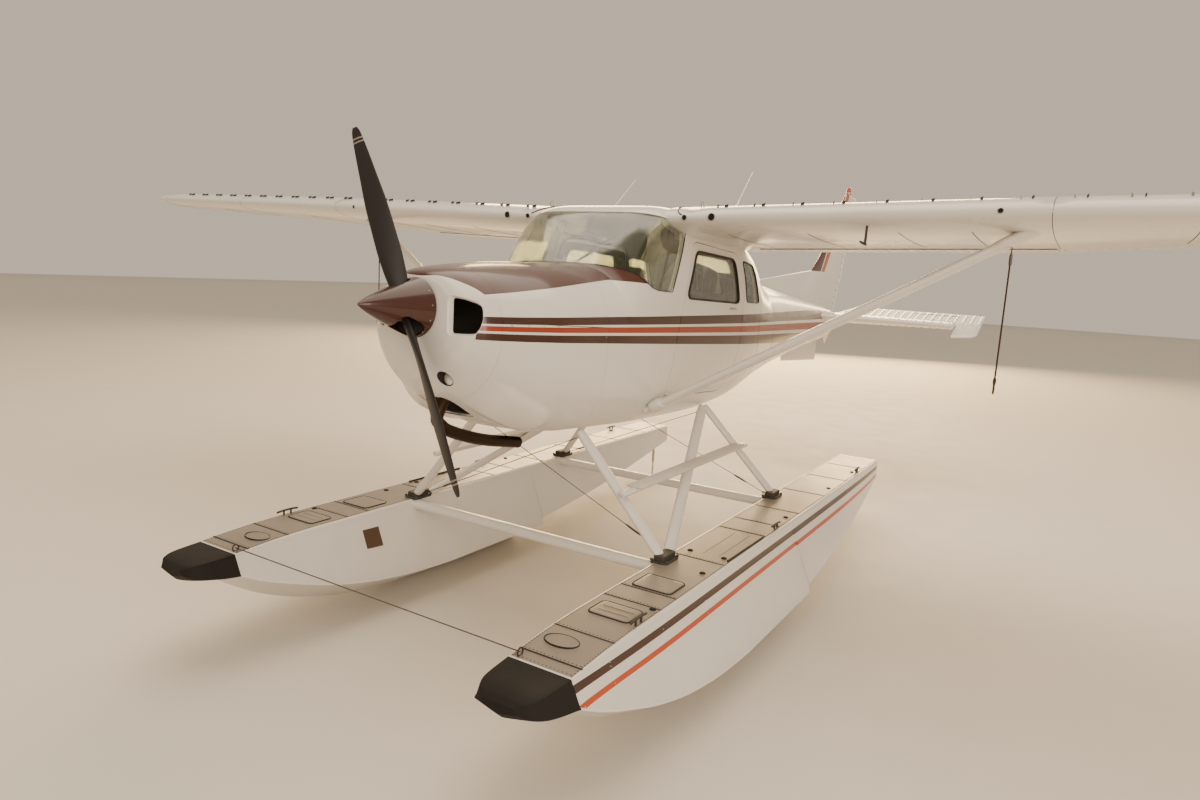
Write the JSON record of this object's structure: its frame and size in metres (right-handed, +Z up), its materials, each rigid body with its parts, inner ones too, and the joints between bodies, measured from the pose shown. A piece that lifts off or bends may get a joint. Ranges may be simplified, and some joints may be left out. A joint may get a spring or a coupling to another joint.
{
  "type": "floatplane",
  "caption": "High-wing strut-braced light aeroplane on twin floats, with a propeller, doors, flaps, control surfaces and water rudders that move.",
  "frame": {"origin": "on the ground under the keels, on the plane of symmetry, half way along the overall length", "axes": "+X to the aeroplane's left, along the wing span; +Y aft; +Z up. The floats are level and the airframe is pitched nose-up by 2.9 degrees on them"},
  "size_m": [10.97, 8.5346, 3.4105],
  "materials": {
    "white_skin": "gloss",
    "door_skin": "gloss",
    "white_gear": "gloss",
    "brown_skin": "gloss",
    "black_blades": "satin",
    "tinted_glass": "gloss",
    "beacon_lens": "gloss",
    "engine_metal": "satin",
    "exhaust_metal": "satin",
    "bow_rubber": "matte",
    "bare_plate": "satin",
    "cabin_trim": "matte",
    "seat_cloth": "matte",
    "rope_fibre": "matte"
  },
  "bodies": {
    "airframe": {"nose_bowl": "white_skin", "cowl_lower": "white_skin", "cabin_shell": "white_skin", "tail_cone": "white_skin", "wing_left": "white_skin", "wing_right": "white_skin", "stabilizer": "white_skin", "fin": "white_skin", "ventral_fin": "white_skin", "float_left": "white_gear", "float_right": "white_gear", "float_strut_front_left": "white_gear", "float_strut_front_right": "white_gear", "float_strut_diagonal_left": "white_gear", "float_strut_diagonal_right": "white_gear", "float_strut_rear_left": "white_gear", "float_strut_rear_right": "white_gear", "boarding_step_left": "white_gear", "boarding_step_right": "white_gear", "spreader_front": "white_gear", "spreader_rear": "white_gear", "wing_strut_left": "white_gear", "wing_strut_right": "white_gear", "cowl_upper": "brown_skin", "windshield": "tinted_glass", "rear_window": "tinted_glass", "side_window_left": "tinted_glass", "side_window_right": "tinted_glass", "beacon": "beacon_lens", "engine_block": "engine_metal", "exhaust_pipe": "exhaust_metal", "bumper_left": "bow_rubber", "bumper_right": "bow_rubber", "cabin_floor": "cabin_trim", "instrument_panel": "cabin_trim", "seat_front_left": "seat_cloth", "seat_front_right": "seat_cloth", "seat_rear": "seat_cloth", "rope_left": "rope_fibre", "rope_right": "rope_fibre"},
    "propeller_body": {"propeller": "black_blades", "spinner": "brown_skin"},
    "left_door": {"door_left": "door_skin", "door_glass_left": "tinted_glass"},
    "right_door": {"door_right": "door_skin", "door_glass_right": "tinted_glass"},
    "left_flap": {"flap_left": "white_skin"},
    "right_flap": {"flap_right": "white_skin"},
    "left_aileron": {"aileron_left": "white_skin"},
    "right_aileron": {"aileron_right": "white_skin"},
    "elevator_body": {"elevator": "white_skin"},
    "rudder_body": {"rudder": "white_skin"},
    "left_water_rudder": {"water_rudder_left": "bare_plate"},
    "right_water_rudder": {"water_rudder_right": "bare_plate"}
  },
  "joints": [
    {"name": "propeller_spin", "type": "hinge", "parent": "airframe", "child": "propeller_body", "pos_m": [0, -3.7406, 1.9774], "axis": [0, 0.9987, -0.0506], "continuous": true},
    {"name": "left_door_swing", "type": "hinge", "parent": "airframe", "child": "left_door", "pos_m": [0.544, -1.89348, 1.67606], "axis": [0, -0.0506, -0.9987], "range_deg": [0, 70]},
    {"name": "right_door_swing", "type": "hinge", "parent": "airframe", "child": "right_door", "pos_m": [-0.544, -1.89348, 1.67606], "axis": [0, 0.0506, 0.9987], "range_deg": [0, 70]},
    {"name": "left_flap_drop", "type": "hinge", "parent": "airframe", "child": "left_flap", "pos_m": [0.64, -0.72521, 2.44235], "axis": [-0.9995, -0.0015, -0.0305], "range_deg": [0, 38]},
    {"name": "right_flap_drop", "type": "hinge", "parent": "airframe", "child": "right_flap", "pos_m": [-0.64, -0.72521, 2.44235], "axis": [-0.9995, 0.0015, 0.0305], "range_deg": [0, 38]},
    {"name": "left_aileron_swing", "type": "hinge", "parent": "airframe", "child": "left_aileron", "pos_m": [2.6, -0.5999, 2.54412], "axis": [0.9939, -0.0982, 0.0498], "range_deg": [-15, 20]},
    {"name": "right_aileron_swing", "type": "hinge", "parent": "airframe", "child": "right_aileron", "pos_m": [-2.6, -0.5999, 2.54412], "axis": [0.9939, 0.0982, -0.0498], "range_deg": [-20, 15]},
    {"name": "elevator_swing", "type": "hinge", "parent": "airframe", "child": "elevator_body", "pos_m": [0, 3.35493, 1.8082], "axis": [1, 0, 0], "range_deg": [-42, 7]},
    {"name": "rudder_swing", "type": "hinge", "parent": "airframe", "child": "rudder_body", "pos_m": [0, 3.36706, 1.57228], "axis": [0, 0.372, 0.9282], "range_deg": [-33, 1]},
    {"name": "left_water_rudder_swing", "type": "hinge", "parent": "airframe", "child": "left_water_rudder", "pos_m": [1.089, 1.084, 0.4], "axis": [0, 0, 1], "range_deg": [-49.5, 1.5]},
    {"name": "right_water_rudder_swing", "type": "hinge", "parent": "airframe", "child": "right_water_rudder", "pos_m": [-1.089, 1.084, 0.4], "axis": [0, 0, 1], "range_deg": [-49.5, 1.5]}
  ],
  "couplings": [
    {"joint": "right_flap_drop", "follows": "left_flap_drop", "ratio": 1},
    {"joint": "right_aileron_swing", "follows": "left_aileron_swing", "ratio": -1},
    {"joint": "left_water_rudder_swing", "follows": "rudder_swing", "ratio": 1.5},
    {"joint": "right_water_rudder_swing", "follows": "rudder_swing", "ratio": 1.5}
  ]
}
